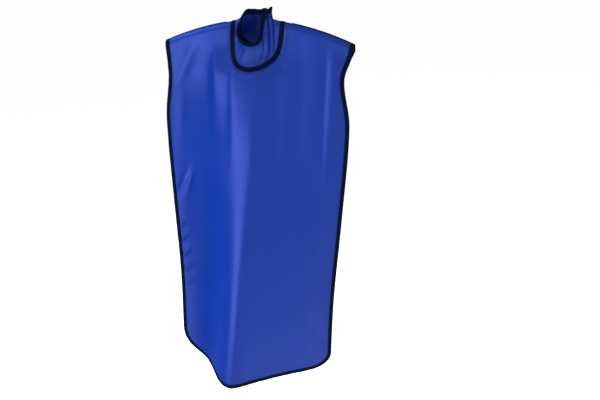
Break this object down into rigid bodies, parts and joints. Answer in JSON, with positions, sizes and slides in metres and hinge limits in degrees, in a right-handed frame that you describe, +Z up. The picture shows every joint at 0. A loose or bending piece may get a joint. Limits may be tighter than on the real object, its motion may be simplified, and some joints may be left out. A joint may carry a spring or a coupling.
{
  "type": "lead x-ray apron",
  "caption": "Full-length blue lead x-ray apron with a stand-up thyroid collar and black bound edges, hanging in one deep front fold from its shoulders.",
  "frame": {"origin": "where a hanger carries the apron: midway between the shoulders, level with the shoulder ridge beside the neck", "axes": "+Z up along the hanging length, -Y to the front of the apron, +X to the right as seen from the front"},
  "size_m": [0.55, 0.2349, 1.1415],
  "materials": {
    "apron_cloth": "satin coated nylon",
    "binding_tape": "matt woven tape",
    "touch_fastener": "matt hook and loop"
  },
  "bodies": {
    "root": {"front_panel": "apron_cloth", "shoulder_flap_left": "apron_cloth", "shoulder_flap_right": "apron_cloth", "collar": "apron_cloth", "edge_binding": "binding_tape", "flap_binding_left": "binding_tape", "flap_binding_right": "binding_tape", "collar_top_binding": "binding_tape", "collar_base_binding": "binding_tape", "collar_closure": "touch_fastener"}
  },
  "joints": []
}
